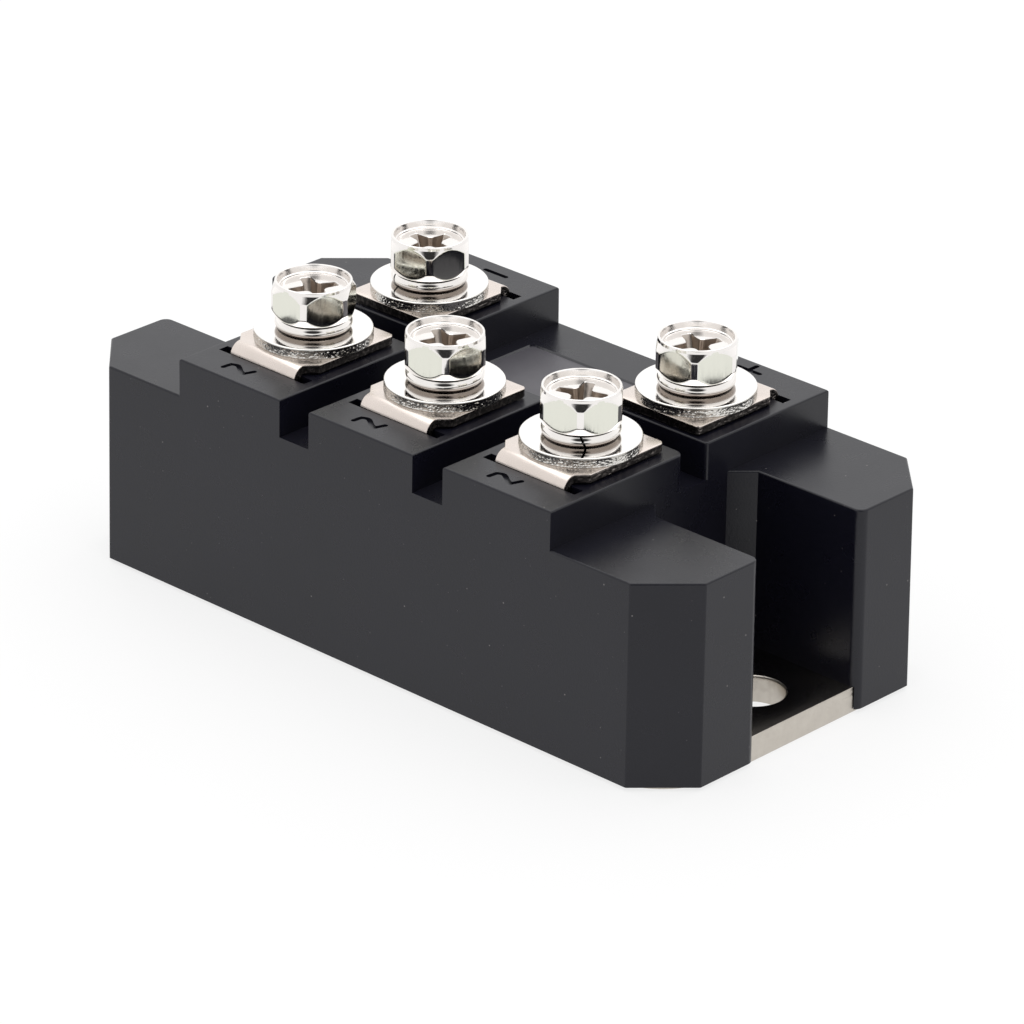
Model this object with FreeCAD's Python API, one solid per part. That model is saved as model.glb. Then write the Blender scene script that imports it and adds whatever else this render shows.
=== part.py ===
"""Three-phase bridge rectifier module: moulded housing on a metal base plate, five screw terminals.

Frame: millimetres, origin at the middle of the underside of the base plate, +Z up.
X runs along the long side. The three alternating-current terminals stand in the front row (-Y).
The two direct-current terminals stand in the rear row (+Y), minus at -X and plus at +X.
"""
import FreeCAD, Part
import math
import os
from FreeCAD import Vector

# Housing, measured at its lower edge
housing_length = 80.7
housing_width = 40.1
housing_lift = 0.4
wing_top = 21.55
pillar_top = 25.5
draft_degrees = 0.5
corner_chamfer = 5.0
edge_round = 0.2
vertical_edge_round = 0.3

# Terminal pillars; the aisle between the rows runs from one inner face to the other
pillar_length = 14.0
pillar_pitch = 18.0
front_row_face = 1.1
rear_row_face = 2.0
front_row_round = 1.0
rear_row_round = 0.4

# Notches in the two ends, over the mounting holes
notch_width = 14.5
notch_corner_chamfer = 2.1
notch_mouth_round = 1.0

# Recessed field on the middle floor
field_length = 18.6
field_width = 10.8
field_centre_y = 8.8
field_depth = 0.15
field_corner_round = 0.6

# Hollow inside of the housing
cavity_end_wall = 2.1
cavity_neck_gap = 2.25
cavity_ceiling = 13.4
cavity_corner_round = 1.5
wing_core_wall = 2.3
wing_core_ceiling = 18.0

# Base plate
plate_thickness = 2.8
plate_end_inset = 0.5
plate_side_inset = 0.55
plate_corner_round = 7.6
plate_edge_round = 0.3
plate_clearance = 0.1
mounting_pitch = 67.0
mounting_hole_diameter = 6.4
mounting_hole_chamfer = 0.25

# Ceramic substrate and the copper pads on it
substrate_end_gap = 0.6
substrate_side_gap = 1.3
substrate_thickness = 0.63
pad_thickness = 0.3
pad_border = 0.6
pad_gap = 1.6
dc_pad_width = 6.6
dc_link_width = 2.4

# Diode chips and the jumpers that tie them to the alternating-current pads
chip_side = 5.6
chip_thickness = 0.35
chip_column_pitch = 15.6
jumper_width = 4.0
jumper_foot_length = 1.8
jumper_gap = 0.4

# Bent terminals
sheet_thickness = 0.9
bend_radius = 0.45
neck_width = 8.95
lower_neck_width = 6.4
lower_neck_gap = 1.0
tab_width = 11.1
tab_taper_length = 1.2
tab_lift = 0.2
tab_reach = 5.8
tab_corner_round = 0.6
tab_hole_diameter = 5.5
foot_length = 4.4
neck_inset = 4.7
slot_length = 11.9
slot_front_clearance = 0.1
slot_rear_clearance = 0.2

# Screws, nuts and washers of the terminals
screw_row_inset = 11.85
thread_diameter = 5.0
thread_clearance = 0.05
screw_length = 12.0
tip_chamfer = 0.5
head_height = 3.75
head_across_flats = 7.8
head_corner_diameter = 8.6
head_shoulder_diameter = 7.8
head_shoulder_height = 0.22
head_rim_diameter = 7.1
head_rim_width = 0.15
head_top_cone = 0.95
head_base_diameter = 7.2
head_base_cone = 1.1
dish_depth = 0.85
dish_floor_diameter = 6.2
cross_length = 4.8
cross_width = 1.0
cross_depth = 1.9
cross_end_width = 0.6
cross_centre_diameter = 2.1
washer_diameter = 11.9
washer_bore = 5.3
washer_thickness = 1.05
spring_diameter = 7.75
spring_bore = 5.1
spring_thickness = 1.3
spring_edge_chamfer = 0.25
spring_split_width = 0.25
spring_split_lean = 20.0
nut_across_flats = 8.0
nut_thickness = 4.0
nut_chamfer = 0.3
nut_pocket_clearance = 0.1
nut_drop = 0.2
screw_bore_clearance = 0.3
screw_bore_spare = 0.8

# Silicone gel over the chips
gel_depth = 4.4
gel_clearance = 0.1
gel_neck_clearance = 0.2

# How far a cutting tool reaches past the face that it cuts
overcut = 1.0

# Two places closer than this count as the same when edges are picked out
same_place = 0.01

# Places that follow from the sizes above
draft = math.tan(math.radians(draft_degrees))
substrate_base = plate_thickness
pad_base = substrate_base + substrate_thickness
pad_top = pad_base + pad_thickness
chip_top = pad_top + chip_thickness
foot_top = pad_top + sheet_thickness
tab_base = pillar_top + tab_lift
tab_top = tab_base + sheet_thickness
washer_top = tab_top + washer_thickness
spring_top = washer_top + spring_thickness
nut_top = pillar_top - nut_drop
nut_base = nut_top - nut_thickness
screw_tip = spring_top - screw_length
screw_row_y = housing_width / 2 - screw_row_inset
neck_face_y = housing_width / 2 - neck_inset
tab_end_y = screw_row_y - tab_reach
bend_outer = bend_radius + sheet_thickness
notch_back_x = pillar_pitch + pillar_length / 2
cavity_length = 2 * (notch_back_x - cavity_end_wall)
cavity_width = 2 * (neck_face_y + cavity_neck_gap)
plate_length = housing_length - 2 * plate_end_inset
plate_width = housing_width - 2 * plate_side_inset
substrate_length = cavity_length - 2 * substrate_end_gap
substrate_width = cavity_width - 2 * substrate_side_gap
ac_columns = [-pillar_pitch, 0.0, pillar_pitch]
chip_columns = [-chip_column_pitch, 0.0, chip_column_pitch]

# Each alternating-current pad carries a terminal's foot and, behind it, a jumper's foot
pad_edge_x = substrate_length / 2 - pad_border
pad_edge_y = substrate_width / 2 - pad_border
jumper_front = -neck_face_y + foot_length + jumper_gap
jumper_bend = jumper_front + jumper_foot_length
ac_pad_rear = jumper_bend + pad_border / 2

# The direct-current pads lie behind them in two rows
minus_row_y = ac_pad_rear + (pad_gap + dc_pad_width) / 2
plus_row_y = minus_row_y + dc_pad_width + pad_gap
minus_field_front = plus_row_y + (dc_pad_width + pad_gap) / 2


def box(x_range, y_range, z_range):
    """Block between the lower and upper value along each axis."""
    size = [r[1] - r[0] for r in (x_range, y_range, z_range)]
    corner = Vector(x_range[0], y_range[0], z_range[0])
    return Part.makeBox(size[0], size[1], size[2], corner)


def cylinder(diameter, z_range, x=0.0, y=0.0):
    """Upright cylinder between two heights."""
    return Part.makeCylinder(diameter / 2, z_range[1] - z_range[0], Vector(x, y, z_range[0]))


def polygon_face(points):
    """Flat face inside a closed run of straight edges."""
    return Part.Face(Part.makePolygon(points + [points[0]]))


def prism(points, z_range):
    """Upright prism over an outline of (x, y) points."""
    face = polygon_face([Vector(x, y, z_range[0]) for x, y in points])
    return face.extrude(Vector(0, 0, z_range[1] - z_range[0]))


def rectangle(x_range, y_range):
    """Corner points of an upright rectangle in plan."""
    left, right = x_range
    front, rear = y_range
    return [(left, front), (right, front), (right, rear), (left, rear)]


def hexagon(across_flats, x=0.0, y=0.0, turn=0.0):
    """Corner points of a hexagon in plan, with a corner on +X when turn is 0."""
    radius = across_flats / 2 / math.cos(math.pi / 6)
    angles = [math.radians(turn + 60 * i) for i in range(6)]
    return [(x + radius * math.cos(a), y + radius * math.sin(a)) for a in angles]


def round_edges(shape, radius, wanted):
    """Round the edges that the test picks."""
    edges = [edge for edge in shape.Edges if wanted(edge)]
    return shape.makeFillet(radius, edges)


def is_upright(edge):
    """True for an edge that runs mostly along Z."""
    direction = edge.Vertexes[-1].Point - edge.Vertexes[0].Point
    return abs(direction.z) > 0.9 * edge.Length > 0


def middle(edge):
    """Point half-way along an edge."""
    return edge.valueAt((edge.FirstParameter + edge.LastParameter) / 2)


def revolve(profile):
    """Solid of revolution about Z from (radius, height) points."""
    face = polygon_face([Vector(r, 0, z) for r, z in profile])
    return face.revolve(Vector(0, 0, 0), Vector(0, 0, 1), 360)


def housing_outline(height):
    """Eight-sided outline of the housing at a height, drawn in by the draft."""
    inset = draft * (height - housing_lift)
    x = housing_length / 2 - inset
    y = housing_width / 2 - inset
    c = corner_chamfer
    corners = [(x - c, -y), (x, -y + c), (x, y - c), (x - c, y)]
    corners += [(-x + c, y), (-x, y - c), (-x, -y + c), (-x + c, -y)]
    points = [Vector(px, py, height) for px, py in corners]
    return Part.makePolygon(points + [points[0]])


def pillar(x, side):
    """Block that stays standing around one terminal; its outer face lies outside the housing."""
    inner = -front_row_face if side < 0 else rear_row_face
    corner_round = front_row_round if side < 0 else rear_row_round
    outer = side * housing_width
    y_range = (min(inner, outer), max(inner, outer))
    x_range = (x - pillar_length / 2, x + pillar_length / 2)
    block = prism(rectangle(x_range, y_range), (wing_top, pillar_top))
    return round_edges(block, corner_round,
                       lambda e: is_upright(e) and abs(middle(e).y - inner) < same_place)


def terminal_places():
    """Centre and row side of each terminal: (name, x, side)."""
    places = [("ac_%d" % (i + 1), x, -1) for i, x in enumerate(ac_columns)]
    places += [("dc_minus", ac_columns[0], 1), ("dc_plus", ac_columns[-1], 1)]
    return places


def notch(side):
    """Tool for the open notch over one mounting hole, its back wall in line with the pillars."""
    back = notch_back_x
    mouth = housing_length
    half = notch_width / 2
    c = notch_corner_chamfer
    points = [(mouth, -half), (mouth, half), (back + c, half), (back, half - c)]
    points += [(back, -half + c), (back + c, -half)]
    return prism([(side * x, y) for x, y in points], (-overcut, pillar_top + overcut))


def plate_outline_solid(z_range, growth=0.0):
    """Rounded rectangle of the base plate as a solid, grown on every side by a clearance."""
    half_x = plate_length / 2 + growth
    half_y = plate_width / 2 + growth
    block = box((-half_x, half_x), (-half_y, half_y), z_range)
    return round_edges(block, plate_corner_round + growth, is_upright)


def housing_body():
    """Drafted block with its pillars and notches, edges rounded, before it is hollowed."""
    wires = [housing_outline(housing_lift), housing_outline(pillar_top)]
    body = Part.makeLoft(wires, True, True)
    reach = housing_length
    relief = box((-reach, reach), (-reach, reach), (wing_top, pillar_top + overcut))
    for _, x, side in terminal_places():
        relief = relief.cut(pillar(x, side))
    body = body.cut(relief)
    for side in (-1, 1):
        body = body.cut(notch(side))
    body = body.removeSplitter()
    mouth_y = notch_width / 2
    body = round_edges(body, notch_mouth_round,
                       lambda e: is_upright(e) and abs(middle(e).x) > housing_length / 2 - overcut
                       and abs(abs(middle(e).y) - mouth_y) < same_place)
    body = round_edges(body, vertical_edge_round, is_chamfer_edge)
    return round_edges(body, edge_round, is_top_edge)


def is_chamfer_edge(edge):
    """Upright edges at the two ends of each corner chamfer."""
    if not is_upright(edge):
        return False
    at = middle(edge)
    inset = draft * (at.z - housing_lift)
    x = housing_length / 2 - inset
    y = housing_width / 2 - inset
    on_side = abs(abs(at.y) - y) < same_place and abs(abs(at.x) - (x - corner_chamfer)) < same_place
    on_end = abs(abs(at.x) - x) < same_place and abs(abs(at.y) - (y - corner_chamfer)) < same_place
    return on_side or on_end


def is_top_edge(edge):
    """Edges round the tops of the pillars and of the wings."""
    box_of_edge = edge.BoundBox
    if box_of_edge.ZLength > same_place:
        return False
    at = middle(edge)
    if abs(at.z - pillar_top) < same_place:
        return True
    return abs(at.z - wing_top) < same_place and abs(at.x) > notch_back_x + same_place


def terminal_slot(x, side):
    """Slot that the neck of a terminal comes up through."""
    front = neck_face_y + slot_front_clearance
    rear = neck_face_y - sheet_thickness - slot_rear_clearance
    y_range = (side * front, side * rear) if side < 0 else (rear, front)
    x_range = (x - slot_length / 2, x + slot_length / 2)
    return box(x_range, y_range, (cavity_ceiling - overcut, pillar_top + overcut))


def nut_pocket(x, side):
    """Hexagonal pocket for the nut, with a blind bore under it for the screw."""
    y = side * screw_row_y
    flats = nut_across_flats + 2 * nut_pocket_clearance
    pocket = prism(hexagon(flats, x, y), (nut_base, pillar_top + overcut))
    bore = cylinder(thread_diameter + 2 * screw_bore_clearance,
                    (screw_tip - screw_bore_spare, nut_base + overcut), x, y)
    return pocket.fuse(bore)


def wing_core(side_x, side_y):
    """Hollow inside one wing, open to the base plate."""
    inner_x = notch_back_x + wing_core_wall
    outer_x = housing_length / 2 - wing_core_wall
    inner_y = notch_width / 2 + wing_core_wall
    outer_y = housing_width / 2 - wing_core_wall
    cut = corner_chamfer - wing_core_wall + 2 * wing_core_wall * (1 - math.tan(math.pi / 8))
    points = [(inner_x, inner_y), (outer_x, inner_y), (outer_x, outer_y - cut)]
    points += [(outer_x - cut, outer_y), (inner_x, outer_y)]
    points = [(side_x * x, side_y * y) for x, y in points]
    return prism(points, (plate_thickness - overcut, wing_core_ceiling))


def cavity():
    """Hollow over the substrate."""
    half_x = cavity_length / 2
    half_y = cavity_width / 2
    block = box((-half_x, half_x), (-half_y, half_y), (plate_thickness - overcut, cavity_ceiling))
    return round_edges(block, cavity_corner_round, is_upright)


def field_recess():
    """Shallow recess on the middle floor."""
    half = field_length / 2
    y_range = (field_centre_y - field_width / 2, field_centre_y + field_width / 2)
    block = box((-half, half), y_range, (wing_top - field_depth, wing_top + overcut))
    return round_edges(block, field_corner_round, is_upright)


def housing():
    """Moulded housing: hollow from below, with a rebate for the base plate."""
    body = housing_body()
    body = body.cut(plate_outline_solid((-overcut, plate_thickness), plate_clearance))
    body = body.cut(cavity())
    for side_x in (-1, 1):
        for side_y in (-1, 1):
            body = body.cut(wing_core(side_x, side_y))
    for _, x, side in terminal_places():
        body = body.cut(terminal_slot(x, side))
        body = body.cut(nut_pocket(x, side))
    return body.cut(field_recess())


def base_plate():
    """Metal plate with two mounting holes, its lower edge rounded."""
    plate = plate_outline_solid((0.0, plate_thickness))
    plate = round_edges(plate, plate_edge_round,
                        lambda e: e.BoundBox.ZMax < same_place)
    for x in (-mounting_pitch / 2, mounting_pitch / 2):
        plate = plate.cut(cylinder(mounting_hole_diameter, (-overcut, plate_thickness + overcut), x))
    rims = [e for e in plate.Edges if is_hole_rim(e)]
    return plate.makeChamfer(mounting_hole_chamfer, rims)


def is_hole_rim(edge):
    """Circular edges of the mounting holes."""
    on_hole = hasattr(edge.Curve, "Radius") and edge.BoundBox.ZLength < same_place
    return on_hole and abs(edge.Curve.Radius - mounting_hole_diameter / 2) < same_place


def substrate():
    """Ceramic tile on the middle of the base plate."""
    half_x = substrate_length / 2
    half_y = substrate_width / 2
    return box((-half_x, half_x), (-half_y, half_y), (substrate_base, pad_base))


def ac_pad(x):
    """Copper pad under one alternating-current terminal, kept inside the tile's border."""
    half = min(neck_width / 2, pad_edge_x - abs(x))
    return box((x - half, x + half), (-pad_edge_y, ac_pad_rear), (pad_base, pad_top))


def row_range(row_y):
    """Front and rear edge of a row of direct-current pad."""
    return (row_y - dc_pad_width / 2, row_y + dc_pad_width / 2)


def minus_pad():
    """Copper pad of the minus side: a row of three chips and a link to its terminal."""
    height = (pad_base, pad_top)
    row = box((-pad_edge_x, pad_edge_x), row_range(minus_row_y), height)
    link = box((-pad_edge_x, -pad_edge_x + dc_link_width), (minus_row_y, pad_edge_y), height)
    inner = -pillar_pitch + neck_width / 2
    foot = box((-pad_edge_x, inner), (minus_field_front, pad_edge_y), height)
    return row.fuse([link, foot]).removeSplitter()


def plus_pad():
    """Copper pad of the plus side: a row of three chips and a field for its terminal."""
    height = (pad_base, pad_top)
    start = -pad_edge_x + dc_link_width + pad_gap / 2
    row = box((start, pad_edge_x), row_range(plus_row_y), height)
    inner = pillar_pitch - neck_width / 2
    foot = box((inner, pad_edge_x), (plus_row_y, pad_edge_y), height)
    return row.fuse(foot).removeSplitter()


def chip(x, row_y):
    """Diode chip soldered on its pad."""
    half = chip_side / 2
    return box((x - half, x + half), (row_y - half, row_y + half), (pad_top, chip_top))


def jumper(x):
    """Copper strip from an alternating-current pad over one chip of each row."""
    bend_end = jumper_bend + chip_thickness
    far_end = plus_row_y + chip_side / 2
    strip = foot_top - chip_top
    profile = [(jumper_front, pad_top), (jumper_bend, pad_top), (bend_end, chip_top)]
    profile += [(far_end, chip_top), (far_end, foot_top), (bend_end - strip / 2, foot_top)]
    profile += [(jumper_bend - strip / 2, pad_top + strip), (jumper_front, pad_top + strip)]
    left = x - jumper_width / 2
    face = polygon_face([Vector(left, y, z) for y, z in profile])
    return face.extrude(Vector(jumper_width, 0, 0))


def terminal_strip():
    """Folded strip of a front terminal: foot, neck and the start of the tab, at x = 0."""
    outer_y = -neck_face_y
    centre_y = outer_y + bend_outer
    low_z = pad_top + bend_outer
    high_z = tab_top - bend_outer
    half_turn = math.sqrt(0.5)
    foot_y = outer_y + foot_length

    def point(y, z):
        return Vector(-neck_width / 2, y, z)

    def line(a, b):
        return Part.LineSegment(point(*a), point(*b)).toShape()

    def bend(centre_z, radius, side):
        ends = [point(centre_y - radius, centre_z), point(centre_y, centre_z + side * radius)]
        mid = point(centre_y - radius * half_turn, centre_z + side * radius * half_turn)
        return Part.Arc(ends[0], mid, ends[1]).toShape()

    inner_y = centre_y - bend_radius
    edges = [line((foot_y, pad_top), (centre_y, pad_top)), bend(low_z, bend_outer, -1)]
    edges += [line((outer_y, low_z), (outer_y, high_z)), bend(high_z, bend_outer, 1)]
    edges += [line((centre_y, tab_top), (centre_y, tab_base)), bend(high_z, bend_radius, 1)]
    edges += [line((inner_y, high_z), (inner_y, low_z)), bend(low_z, bend_radius, -1)]
    edges += [line((centre_y, foot_top), (foot_y, foot_top))]
    edges += [line((foot_y, foot_top), (foot_y, pad_top))]
    face = Part.Face(Part.Wire(Part.__sortEdges__(edges)))
    strip = face.extrude(Vector(neck_width, 0, 0))
    low_range = (0.0, cavity_ceiling - lower_neck_gap)
    for side in (-1, 1):
        x_range = sorted((side * lower_neck_width / 2, side * neck_width))
        strip = strip.cut(box(x_range, (-housing_width, 0.0), low_range))
    return strip


def terminal(x, side):
    """Bent terminal: a foot on its pad, a neck through the slot, and a tab under the screw."""
    start_y = -neck_face_y + bend_outer
    taper_y = start_y + tab_taper_length
    outline = [(-neck_width / 2, start_y), (neck_width / 2, start_y)]
    outline += [(tab_width / 2, taper_y), (tab_width / 2, -tab_end_y)]
    outline += [(-tab_width / 2, -tab_end_y), (-tab_width / 2, taper_y)]
    tab = prism(outline, (tab_base, tab_top))
    tab = round_edges(tab, tab_corner_round,
                      lambda e: is_upright(e) and abs(middle(e).y + tab_end_y) < same_place)
    tab = tab.cut(cylinder(tab_hole_diameter, (tab_base - overcut, tab_top + overcut), 0.0, -screw_row_y))
    part = terminal_strip().fuse(tab).removeSplitter()
    if side > 0:
        part.rotate(Vector(0, 0, 0), Vector(0, 0, 1), 180)
    part.translate(Vector(x, 0, 0))
    return part


def nut():
    """Hexagonal nut with chamfered corners, its base at height 0."""
    body = prism(hexagon(nut_across_flats), (0.0, nut_thickness))
    corner = nut_across_flats / 2 / math.cos(math.pi / 6)
    low = corner - nut_chamfer / math.tan(math.radians(30))
    profile = [(0, 0), (low, 0), (corner, nut_chamfer), (corner, nut_thickness - nut_chamfer)]
    profile += [(low, nut_thickness), (0, nut_thickness)]
    body = body.common(revolve(profile))
    bore = thread_diameter + 2 * thread_clearance
    return body.cut(cylinder(bore, (-overcut, nut_thickness + overcut)))


def flat_washer():
    """Flat washer, its base at height 0."""
    ring = cylinder(washer_diameter, (0.0, washer_thickness))
    return ring.cut(cylinder(washer_bore, (-overcut, washer_thickness + overcut)))


def spring_washer():
    """Split spring washer with broken outer edges, its base at height 0 and its split on +X."""
    outer = spring_diameter / 2
    bore = spring_bore / 2
    profile = [(bore, 0), (outer - spring_edge_chamfer, 0), (outer, spring_edge_chamfer)]
    profile += [(outer, spring_thickness - spring_edge_chamfer)]
    profile += [(outer - spring_edge_chamfer, spring_thickness), (bore, spring_thickness)]
    ring = revolve(profile)
    half = spring_split_width / 2
    split = box((0.0, spring_diameter), (-half, half), (-spring_thickness, 2 * spring_thickness))
    split.rotate(Vector(0, 0, spring_thickness / 2), Vector(1, 0, 0), spring_split_lean)
    return ring.cut(split)


def cross_recess():
    """Tapered cross for the driver, its mouth at height 0 and its tip below."""
    arms = []
    for turn in (0, 90):
        mouth = rectangle((-cross_length / 2, cross_length / 2), (-cross_width / 2, cross_width / 2))
        end_half = cross_centre_diameter / 2
        end = rectangle((-end_half, end_half), (-cross_end_width / 2, cross_end_width / 2))
        wires = []
        for outline, z in ((mouth, 0.0), (end, -cross_depth)):
            points = [Vector(x, y, z) for x, y in outline]
            wires.append(Part.makePolygon(points + [points[0]]))
        arm = Part.makeLoft(wires, True, True)
        arm.rotate(Vector(0, 0, 0), Vector(0, 0, 1), turn)
        arms.append(arm)
    core = Part.makeCone(cross_end_width / 2, cross_centre_diameter / 2, cross_depth,
                         Vector(0, 0, -cross_depth))
    return arms[0].fuse([arms[1], core])


def screw(hexagon_turn, cross_turn):
    """Screw with a dished hexagonal head and a cross recess, its seat at height 0."""
    corner = head_corner_diameter / 2
    shoulder = head_shoulder_diameter / 2
    rim = head_rim_diameter / 2
    floor = head_height - dish_depth
    profile = [(0, 0), (head_base_diameter / 2, 0), (shoulder, head_shoulder_height)]
    profile += [(corner, head_base_cone), (corner, head_height - head_top_cone)]
    profile += [(shoulder, head_height - head_shoulder_height), (rim, head_height)]
    profile += [(rim - head_rim_width, head_height), (dish_floor_diameter / 2, floor), (0, floor)]
    flats = prism(hexagon(head_across_flats, turn=hexagon_turn), (0.0, head_height))
    head = revolve(profile).common(flats)
    recess = cross_recess()
    recess.rotate(Vector(0, 0, 0), Vector(0, 0, 1), cross_turn)
    recess.translate(Vector(0, 0, floor))
    head = head.cut(recess)
    shank = [(0, 0), (thread_diameter / 2, 0), (thread_diameter / 2, tip_chamfer - screw_length)]
    shank += [(thread_diameter / 2 - tip_chamfer, -screw_length), (0, -screw_length)]
    return head.fuse(revolve(shank)).removeSplitter()


def gel():
    """Block of silicone gel that covers the chips and jumpers."""
    half_x = cavity_length / 2 - gel_clearance
    half_y = cavity_width / 2 - gel_clearance
    block = box((-half_x, half_x), (-half_y, half_y), (foot_top, foot_top + gel_depth))
    block = round_edges(block, cavity_corner_round, is_upright)
    for _, x, side in terminal_places():
        half = lower_neck_width / 2 + gel_neck_clearance
        inner = neck_face_y - bend_outer - gel_neck_clearance
        outer = neck_face_y + gel_neck_clearance
        y_range = sorted((side * inner, side * outer))
        block = block.cut(box((x - half, x + half), y_range, (0.0, pillar_top)))
    return block


def placed(shape, x, y, z, turn=0.0):
    """Copy of a shape turned about Z and moved to a place."""
    copy = shape.copy()
    copy.rotate(Vector(0, 0, 0), Vector(0, 0, 1), turn)
    copy.translate(Vector(x, y, z))
    return copy


# Turn of each screw's hexagon and of its cross recess, in degrees about Z
screw_turns = {"ac_1": (1.3, 65.3), "ac_2": (14.8, 65.8), "ac_3": (11.3, 24.3)}
screw_turns.update({"dc_minus": (14.3, 86.8), "dc_plus": (8.3, 68.3)})

# Direction of each spring washer's split
split_turns = {"ac_1": 130.0, "ac_2": 150.0, "ac_3": -44.0, "dc_minus": -112.0, "dc_plus": 100.0}


def all_parts():
    """Every piece of the module by its name."""
    parts = {"housing": housing(), "base_plate": base_plate(), "substrate": substrate()}
    parts["pad_dc_minus"] = minus_pad()
    parts["pad_dc_plus"] = plus_pad()
    parts["silicone_gel"] = gel()
    for i in range(3):
        parts["pad_ac_%d" % (i + 1)] = ac_pad(ac_columns[i])
        parts["diode_minus_%d" % (i + 1)] = chip(chip_columns[i], minus_row_y)
        parts["diode_plus_%d" % (i + 1)] = chip(chip_columns[i], plus_row_y)
        parts["jumper_%d" % (i + 1)] = jumper(chip_columns[i])
    nut_shape = nut()
    washer_shape = flat_washer()
    spring_shape = spring_washer()
    for name, x, side in terminal_places():
        y = side * screw_row_y
        parts["terminal_" + name] = terminal(x, side)
        parts["nut_" + name] = placed(nut_shape, x, y, nut_base)
        parts["flat_washer_" + name] = placed(washer_shape, x, y, tab_top)
        parts["spring_washer_" + name] = placed(spring_shape, x, y, washer_top, split_turns[name])
        parts["screw_" + name] = placed(screw(*screw_turns[name]), x, y, spring_top)
    return parts


os.makedirs("parts", exist_ok=True)
for part_name, part_shape in all_parts().items():
    part_shape.exportStep(os.path.join("parts", part_name + ".step"))
    print(part_name, len(part_shape.Solids), part_shape.isValid(), round(part_shape.Volume, 2))
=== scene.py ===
"""Looks of the three-phase bridge rectifier module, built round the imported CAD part.

Sizes are in millimetres until a mesh is made, and meshes are in metres like the frame.
"""
import math
import bmesh
import bpy
from mathutils import Matrix, Vector, noise
from mathutils.geometry import delaunay_2d_cdt


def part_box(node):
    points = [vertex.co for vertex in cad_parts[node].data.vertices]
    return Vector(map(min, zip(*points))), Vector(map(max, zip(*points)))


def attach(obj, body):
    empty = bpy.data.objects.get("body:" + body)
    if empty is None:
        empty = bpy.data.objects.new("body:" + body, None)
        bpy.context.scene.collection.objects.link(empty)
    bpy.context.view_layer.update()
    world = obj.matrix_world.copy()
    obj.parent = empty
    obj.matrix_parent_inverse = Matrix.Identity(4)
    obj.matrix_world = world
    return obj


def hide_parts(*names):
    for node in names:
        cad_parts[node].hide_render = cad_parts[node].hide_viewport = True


MM = 0.001
TERMINALS = ("ac_1", "ac_2", "ac_3", "dc_minus", "dc_plus")

# Camera, found from the photo's edges
CAMERA_TARGET = Vector((0.0, 0.0, 12.0))
CAMERA_AZIMUTH = 43.112
CAMERA_ELEVATION = 25.1505
CAMERA_ROLL = 0.8244
CAMERA_DISTANCE = 601.19
CAMERA_PAN = (1.0773, -1.2552)
CAMERA_LENS = 213.838
SENSOR_WIDTH = 36.0

# Light: white all round and a little stronger on the far side, with a dark opening round the camera's
# direction. Each span holds cosines of the angle away from the opening's middle.
FAR_SIDE_GAIN = 0.15
FAR_SIDE_SPAN = (-0.6, 0.2)
OPENING_LEVEL = 0.03
OPENING_ELEVATION = 28.0
OPENING_SPAN = (0.88, 0.96)
FLOOR_WHITE = 0.78
FLOOR_REACH = 1500.0
FLOOR_DROP = 0.02
LAMP_PLACE = (-60, 120, 520)
LAMP_TARGET = (0, 0, 15)
LAMP_SIDE = 700
LAMP_POWER = 1.3

# Metals: strength of the grain and its height in metres, and the colour of the painted shade in the joints
# between pieces
GRAIN_STRENGTH = 0.4
GRAIN_DEPTH = 0.000006
JOINT_SHADE = (0.05, 0.045, 0.04)

# Housing: the least area over rim length of a face that counts as wide, the angles in degrees up to which
# a narrow face blends with its neighbours and runs into a wide one, how close welded points and faces
# are, and the shallow field
FLAT_FACE = 0.2
BLEND_ANGLE = 40.0
RUN_IN_ANGLE = 32.0
WELD_DISTANCE = 0.002
WELD_ANGLE = 0.2
FIELD_HEIGHT = 21.4
FIELD_CENTRE_Y = 8.8
FIELD_REACH = 12.0
FIELD_SLOPE = 0.2

# Screws: heights of the head's cones, collar and ledge are measured from its seat or its top
HEAD_ACROSS_FLATS = 7.8
HEAD_CORNER = 8.6
HEAD_RIM = 7.68
HEAD_SEAT = 7.4
DISH_FLOOR = 6.6
DISH_DEPTH = 0.85
LOWER_CONE = 0.95
UPPER_CONE = 1.05
COLLAR = 0.35
RIM_WIDTH = 0.22
LEDGE_WIDTH = 0.17
LEDGE_DEPTH = 0.66
HEAD_SEGMENTS = 360
FLAT_BLEND = 0.06
FLAT_LIMIT = 0.03
THREAD_OUTER = 5.0
THREAD_PITCH = 0.8
THREAD_DEPTH = 0.43
THREAD_SEGMENTS = 40

# Turns of each head and its cross about the screw's axis, in degrees, read off the photo
HEXAGON_TURN = {"ac_1": 1.3, "ac_2": 14.8, "ac_3": 11.3, "dc_minus": 14.3, "dc_plus": 8.3}
CROSS_TURN = {"ac_1": 65.3, "ac_2": 65.8, "ac_3": 24.3, "dc_minus": 86.8, "dc_plus": 68.3}

# Cross recess of a screw; its tip keeps a share of the mouth's width and reach
CROSS_REACH = 2.5
CROSS_HALF_WIDTH = 0.66
CROSS_CORNER = 0.55
CROSS_DEPTH = 1.9
CROSS_TIP_WIDTH = 0.45
CROSS_TIP_REACH = 0.25

# Washers
WASHER_BORE = 5.3
WASHER_SEGMENTS = 400
RIM_DEPTH = 0.07
SPRING_BORE = 5.1
SPRING_STEPS = 260
SPRING_SPLIT = {"ac_1": 130.0, "ac_2": 150.0, "ac_3": -44.0, "dc_minus": -112.0, "dc_plus": 100.0}
SPRING_BULGE = 0.38
JOINT_LINE = 0.09
SPLIT_WIDTH = 0.22
SPLIT_LEAN = 20.0

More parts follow.
